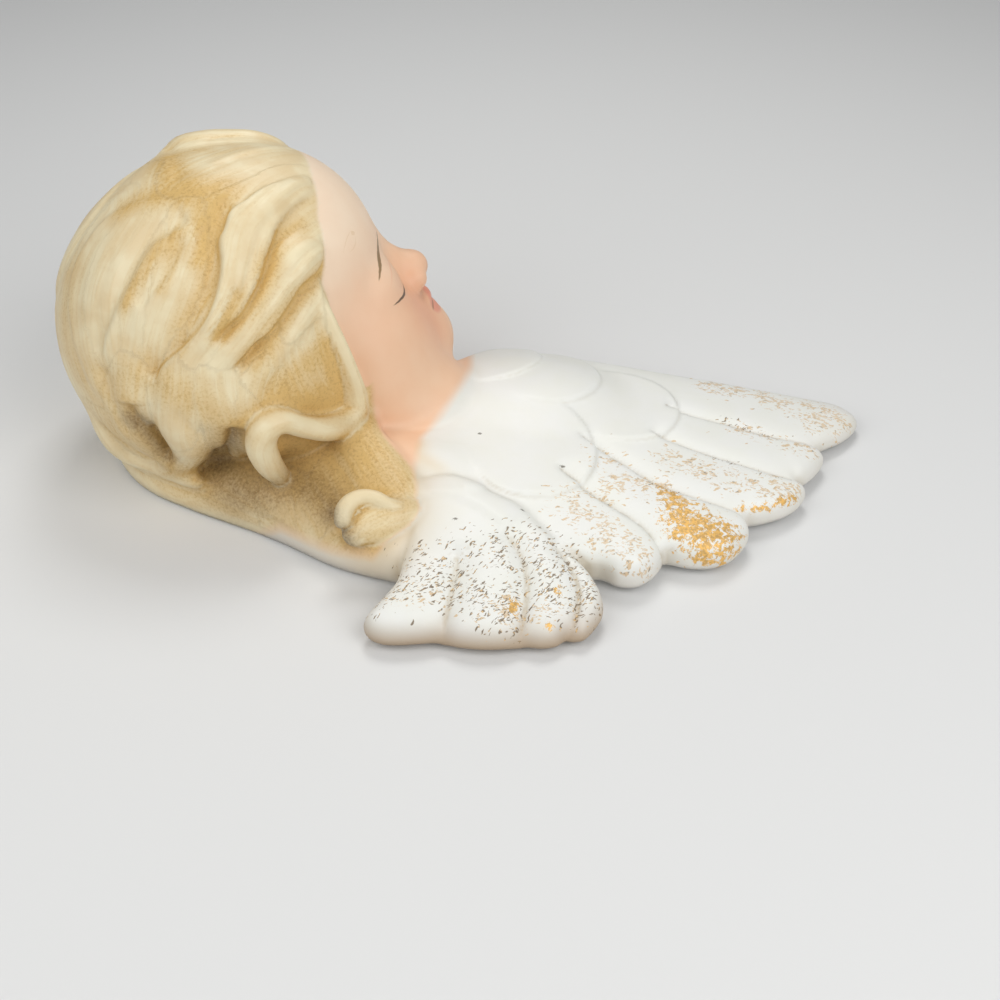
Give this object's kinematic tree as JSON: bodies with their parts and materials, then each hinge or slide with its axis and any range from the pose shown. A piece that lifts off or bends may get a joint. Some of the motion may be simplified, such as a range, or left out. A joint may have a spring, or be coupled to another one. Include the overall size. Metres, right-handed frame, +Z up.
{
  "type": "cherub wall plaque",
  "caption": "Small painted bisque wall ornament: a sleeping cherub's head with wavy hair resting on a long wing and a short wing, flat behind so that it hangs on a wall.",
  "frame": {"origin": "on the flat back, behind the neck, in the plane of the wall", "axes": "+Z up the wall as the plaque hangs, +X to the right along the wall as a viewer sees it, +Y into the wall, so the face and wings look towards -Y"},
  "size_m": [0.0982, 0.0609, 0.1455],
  "materials": {
    "painted_bisque": "fired bisque china, painted: satin white wings with short gold dashes, cream hair washed with ochre, pale peach skin"
  },
  "bodies": {
    "root": {"cherub_plaque": "painted_bisque"}
  },
  "joints": []
}
